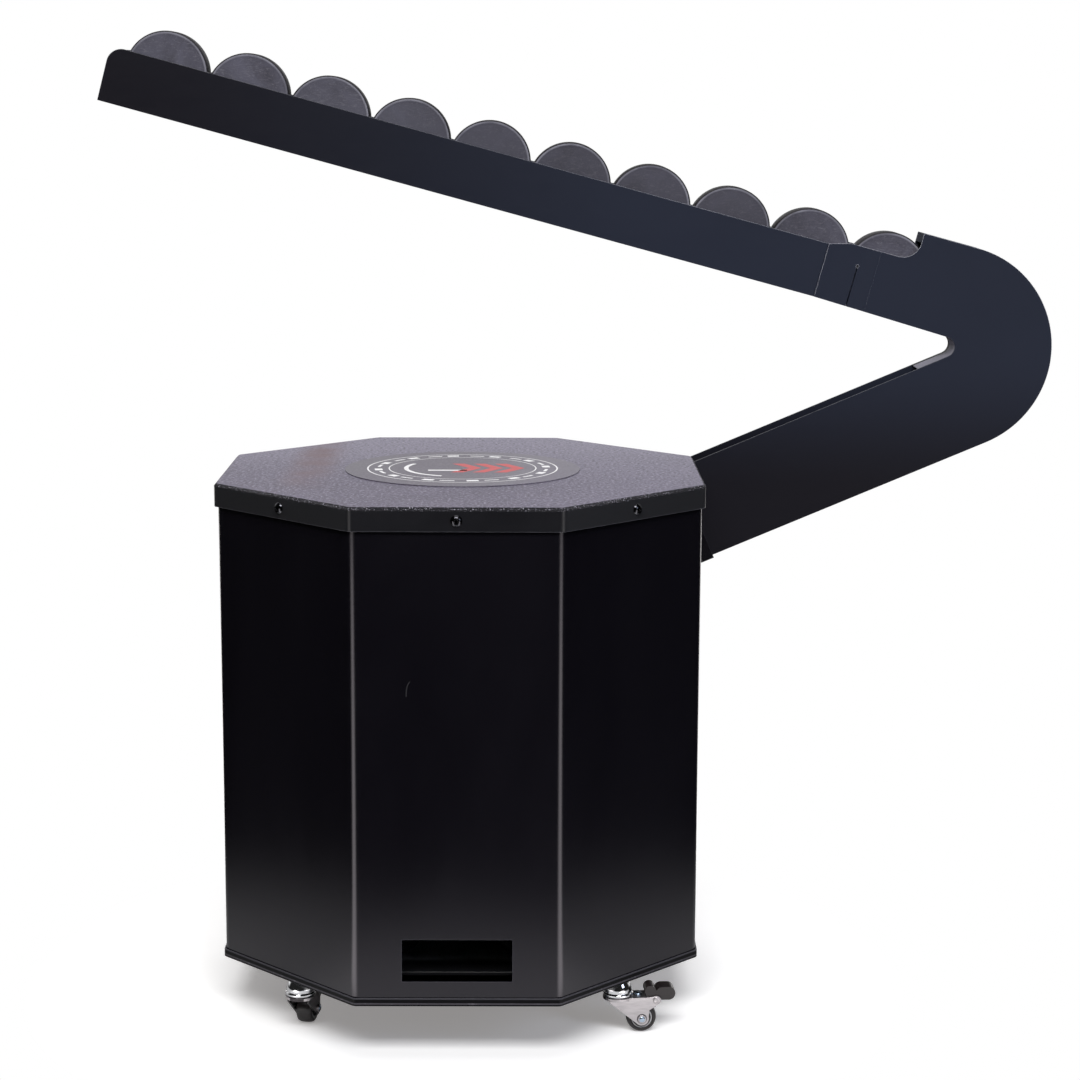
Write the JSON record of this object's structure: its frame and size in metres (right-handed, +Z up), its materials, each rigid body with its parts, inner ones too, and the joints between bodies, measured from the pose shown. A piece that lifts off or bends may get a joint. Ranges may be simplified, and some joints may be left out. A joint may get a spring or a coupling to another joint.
{
  "type": "puck passing machine",
  "caption": "Octagonal cabinet on swivel casters with an exit slot, flywheel launcher inside, and a sloped rail with a curved chute feeding rubber pucks on edge.",
  "frame": {"origin": "the cabinet's vertical axis at floor level, under the middle of the lid", "axes": "+X to the right as seen from the exit slot's side, along the feed rail; +Y away from that side, towards the controls; +Z up"},
  "size_m": [0.8811, 0.4406, 0.8537],
  "materials": {
    "cabinet_black": "gloss black powder coat",
    "base_black": "black powder coat",
    "lid_grey": "textured grey powder coat",
    "disc_dark": "satin printed plate",
    "chute_black": "satin blue-black coat",
    "band_grey": "brushed",
    "screw_black": "black oxide",
    "zinc": "zinc plated",
    "alloy": "milled",
    "steel": "ground",
    "motor_case": "satin",
    "drive_rubber": "moulded",
    "gate_red": "satin",
    "battery_case": "moulded",
    "board": "solder mask",
    "puck_rubber": "dusty vulcanised rubber",
    "caster_chrome": "polished",
    "caster_nickel": "nickel plated",
    "caster_tread": "moulded",
    "pedal_plastic": "moulded",
    "switch_plastic": "gloss",
    "rocker_red": "gloss",
    "knob_plastic": "satin"
  },
  "bodies": {
    "cabinet": {"base_pan": "base_black", "front_shell": "cabinet_black", "rear_shell": "cabinet_black", "seam_straps": "zinc", "top_frame": "zinc", "lid": "lid_grey", "lid_disc": "disc_dark", "lid_screws": "screw_black", "control_panel": "base_black", "panel_screws": "screw_black", "switch_housing": "switch_plastic", "potentiometers": "zinc", "charge_inlet": "switch_plastic", "inlet_trough": "cabinet_black", "inlet_collar": "cabinet_black", "drop_cheeks": "zinc", "front_guide": "steel", "back_guide": "steel", "launch_deck": "alloy", "deck_posts": "zinc", "motor_plate": "alloy", "left_motor": "motor_case", "right_motor": "motor_case", "gate_pin": "steel", "gate_solenoid": "motor_case", "battery": "battery_case", "control_board": "board", "staged_pucks": "puck_rubber", "caster_stems": "caster_chrome", "caster_nuts": "zinc"},
    "left_flywheel": {"left_spindle": "steel", "left_hub": "alloy", "left_tyre": "drive_rubber"},
    "right_flywheel": {"right_spindle": "steel", "right_hub": "alloy", "right_tyre": "drive_rubber"},
    "gate": {"gate_rocker": "gate_red"},
    "plunger": {"gate_plunger": "steel"},
    "switch_rocker": {"power_switch": "rocker_red"},
    "speed_dial": {"speed_knob": "knob_plastic"},
    "interval_dial": {"interval_knob": "knob_plastic"},
    "chute": {"elbow_near_plate": "chute_black", "elbow_far_plate": "chute_black", "elbow_outer_band": "chute_black", "elbow_floor": "band_grey", "chute_pucks": "puck_rubber"},
    "rail": {"feed_rail": "chute_black"},
    "queue": {"rail_pucks": "puck_rubber"},
    "front_left_swivel": {"front_left_fork": "caster_nickel"},
    "front_left_roller": {"front_left_wheel": "caster_tread"},
    "front_left_brake": {"front_left_pedal": "pedal_plastic"},
    "front_right_swivel": {"front_right_fork": "caster_nickel"},
    "front_right_roller": {"front_right_wheel": "caster_tread"},
    "front_right_brake": {"front_right_pedal": "pedal_plastic"},
    "rear_left_swivel": {"rear_left_fork": "caster_nickel"},
    "rear_left_roller": {"rear_left_wheel": "caster_tread"},
    "rear_left_brake": {"rear_left_pedal": "pedal_plastic"},
    "rear_right_swivel": {"rear_right_fork": "caster_nickel"},
    "rear_right_roller": {"rear_right_wheel": "caster_tread"},
    "rear_right_brake": {"rear_right_pedal": "pedal_plastic"}
  },
  "joints": [
    {"name": "left_flywheel_spin", "type": "hinge", "parent": "cabinet", "child": "left_flywheel", "pos_m": [-0.085, -0.11002, 0.085], "axis": [0, 0, 1], "continuous": true},
    {"name": "right_flywheel_spin", "type": "hinge", "parent": "cabinet", "child": "right_flywheel", "pos_m": [0.085, -0.11002, 0.085], "axis": [0, 0, 1], "continuous": true},
    {"name": "gate_pivot", "type": "hinge", "parent": "cabinet", "child": "gate", "pos_m": [0.07237, 0.14, 0.41344], "axis": [0, 1, 0], "range_deg": [0, 30]},
    {"name": "plunger_slide", "type": "slide", "parent": "cabinet", "child": "plunger", "axis": [0.9205, 0, 0.3907], "range_m": [0, 0.0101]},
    {"name": "switch_pivot", "type": "hinge", "parent": "cabinet", "child": "switch_rocker", "pos_m": [-0.048, 0.207, 0.235], "axis": [1, 0, 0], "range_deg": [0, 16]},
    {"name": "speed_dial_turn", "type": "hinge", "parent": "cabinet", "child": "speed_dial", "pos_m": [-0.012, 0.209, 0.235], "axis": [0, -1, 0], "range_deg": [0, 270]},
    {"name": "interval_dial_turn", "type": "hinge", "parent": "cabinet", "child": "interval_dial", "pos_m": [0.022, 0.209, 0.235], "axis": [0, -1, 0], "range_deg": [0, 270]},
    {"name": "chute_slide", "type": "slide", "parent": "cabinet", "child": "chute", "axis": [0.9205, 0, 0.3907], "range_m": [0, 0.06]},
    {"name": "rail_slide", "type": "slide", "parent": "chute", "child": "rail", "axis": [-0.9659, 0, 0.2588], "range_m": [0, 0.03]},
    {"name": "queue_slide", "type": "slide", "parent": "rail", "child": "queue", "axis": [-0.9659, 0, 0.2588], "range_m": [0, 0.045]},
    {"name": "front_left_swivel_turn", "type": "hinge", "parent": "cabinet", "child": "front_left_swivel", "pos_m": [-0.137, -0.137, 0.032], "axis": [0, 0, 1], "continuous": true},
    {"name": "front_left_wheel_roll", "type": "hinge", "parent": "front_left_swivel", "child": "front_left_roller", "pos_m": [-0.13284, -0.11744, 0.013], "axis": [-0.9781, 0.2079, 0], "continuous": true},
    {"name": "front_left_brake_press", "type": "hinge", "parent": "front_left_swivel", "child": "front_left_brake", "pos_m": [-0.13024, -0.10521, 0.0293], "axis": [-0.9781, 0.2079, 0], "range_deg": [0, 20]},
    {"name": "front_right_swivel_turn", "type": "hinge", "parent": "cabinet", "child": "front_right_swivel", "pos_m": [0.137, -0.137, 0.032], "axis": [0, 0, 1], "continuous": true},
    {"name": "front_right_wheel_roll", "type": "hinge", "parent": "front_right_swivel", "child": "front_right_roller", "pos_m": [0.15695, -0.13561, 0.013], "axis": [-0.0698, 0.9976, 0], "continuous": true},
    {"name": "front_right_brake_press", "type": "hinge", "parent": "front_right_swivel", "child": "front_right_brake", "pos_m": [0.16942, -0.13473, 0.0293], "axis": [-0.0698, 0.9976, 0], "range_deg": [0, 20]},
    {"name": "rear_left_swivel_turn", "type": "hinge", "parent": "cabinet", "child": "rear_left_swivel", "pos_m": [-0.137, 0.137, 0.032], "axis": [0, 0, 1], "continuous": true},
    {"name": "rear_left_wheel_roll", "type": "hinge", "parent": "rear_left_swivel", "child": "rear_left_roller", "pos_m": [-0.14449, 0.15555, 0.013], "axis": [-0.9272, -0.3746, 0], "continuous": true},
    {"name": "rear_left_brake_press", "type": "hinge", "parent": "rear_left_swivel", "child": "rear_left_brake", "pos_m": [-0.14918, 0.16714, 0.0293], "axis": [-0.9272, -0.3746, 0], "range_deg": [0, 20]},
    {"name": "rear_right_swivel_turn", "type": "hinge", "parent": "cabinet", "child": "rear_right_swivel", "pos_m": [0.137, 0.137, 0.032], "axis": [0, 0, 1], "continuous": true},
    {"name": "rear_right_wheel_roll", "type": "hinge", "parent": "rear_right_swivel", "child": "rear_right_roller", "pos_m": [0.15527, 0.14514, 0.013], "axis": [-0.4067, 0.9135, 0], "continuous": true},
    {"name": "rear_right_brake_press", "type": "hinge", "parent": "rear_right_swivel", "child": "rear_right_brake", "pos_m": [0.16669, 0.15022, 0.0293], "axis": [-0.4067, 0.9135, 0], "range_deg": [0, 20]}
  ],
  "couplings": [
    {"joint": "plunger_slide", "follows": "gate_pivot", "m_per_rad": 0.0191}
  ]
}
